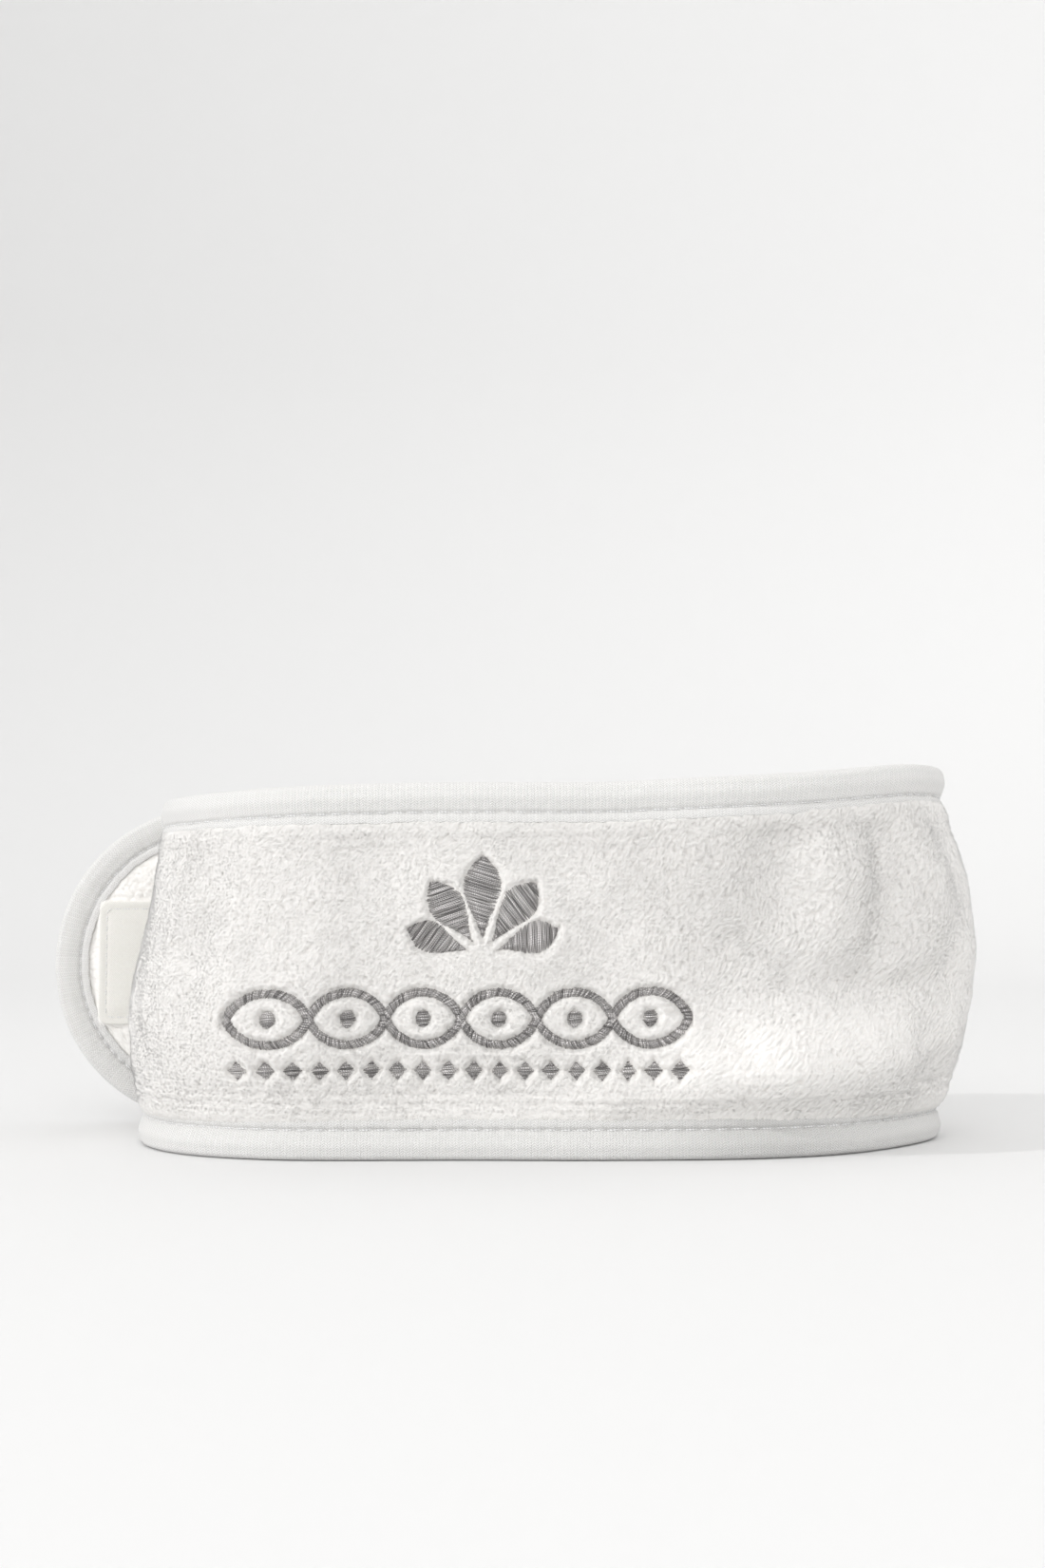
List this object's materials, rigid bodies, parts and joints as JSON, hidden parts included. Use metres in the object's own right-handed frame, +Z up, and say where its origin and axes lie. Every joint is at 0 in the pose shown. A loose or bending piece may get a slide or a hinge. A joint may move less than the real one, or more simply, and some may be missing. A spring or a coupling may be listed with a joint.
{
  "type": "spa headband",
  "caption": "Plush wrap-round headband with tape-bound edges, an embroidered front and a rounded hook-and-loop tab that overlaps at the back.",
  "frame": {"origin": "under the middle of the overall box, on the surface the band stands on", "axes": "+Z up along the band's width, +X to the right as seen from the embroidered front, +Y from the front to the fastening at the back"},
  "size_m": [0.2468, 0.096, 0.09],
  "materials": {
    "plush": "short white plush pile",
    "terry_lining": "flatter white terry",
    "twill_tape": "white herringbone twill tape",
    "sewing_thread": "spun white thread",
    "hook_tape": "off-white nylon hooks",
    "loop_tape": "brushed white loops",
    "embroidery_thread": "silver-grey satin stitch",
    "stabiliser": "non-woven sheet"
  },
  "bodies": {
    "front": {"outer_panel_front": "plush", "lining_front": "terry_lining", "lower_binding_front": "twill_tape", "upper_binding_front": "twill_tape", "binding_stitching_front": "sewing_thread", "embroidery_backing": "stabiliser", "embroidered_lotus": "embroidery_thread", "embroidered_wave_band": "embroidery_thread", "embroidered_seed_row": "embroidery_thread"},
    "right_side": {"outer_panel_right_side": "plush", "lining_right_side": "terry_lining", "lower_binding_right_side": "twill_tape", "upper_binding_right_side": "twill_tape", "binding_stitching_right_side": "sewing_thread"},
    "back_strap": {"outer_panel_back": "plush", "lining_back": "terry_lining", "lower_binding_back": "twill_tape", "upper_binding_back": "twill_tape", "binding_stitching_back": "sewing_thread"},
    "tab": {"outer_panel_tab": "plush", "lining_tab": "terry_lining", "binding_tab": "twill_tape", "binding_stitching_tab": "sewing_thread", "hook_patch": "hook_tape", "hook_patch_stitching": "sewing_thread"},
    "left_side": {"outer_panel_left_side": "plush", "lining_left_side": "terry_lining", "lower_binding_left_side": "twill_tape", "upper_binding_left_side": "twill_tape", "binding_stitching_left_side": "sewing_thread"},
    "inner_end": {"outer_panel_inner_end": "plush", "lining_inner_end": "terry_lining", "binding_inner_end": "twill_tape", "binding_stitching_inner_end": "sewing_thread", "loop_patch": "loop_tape", "loop_patch_stitching": "sewing_thread"}
  },
  "joints": [
    {"name": "right_front_bend", "type": "hinge", "parent": "front", "child": "right_side", "pos_m": [0.08841, -0.03708, 0], "axis": [0, 0, -1], "range_deg": [0, 60]},
    {"name": "right_back_bend", "type": "hinge", "parent": "right_side", "child": "back_strap", "pos_m": [0.11866, 0.02983, 0], "axis": [0, 0, -1], "range_deg": [0, 120]},
    {"name": "tab_peel", "type": "hinge", "parent": "back_strap", "child": "tab", "pos_m": [-0.00642, 0.04815, 0], "axis": [0, 0, -1], "range_deg": [0, 110]},
    {"name": "left_front_bend", "type": "hinge", "parent": "front", "child": "left_side", "pos_m": [-0.07525, -0.03343, 0], "axis": [0, 0, 1], "range_deg": [0, 90]},
    {"name": "left_back_bend", "type": "hinge", "parent": "left_side", "child": "inner_end", "pos_m": [-0.07894, 0.02872, 0], "axis": [0, 0, 1], "range_deg": [0, 90]}
  ],
  "couplings": [
    {"joint": "right_back_bend", "follows": "right_front_bend", "ratio": 2},
    {"joint": "left_front_bend", "follows": "right_front_bend", "ratio": 1.5},
    {"joint": "left_back_bend", "follows": "right_front_bend", "ratio": 1.5}
  ]
}
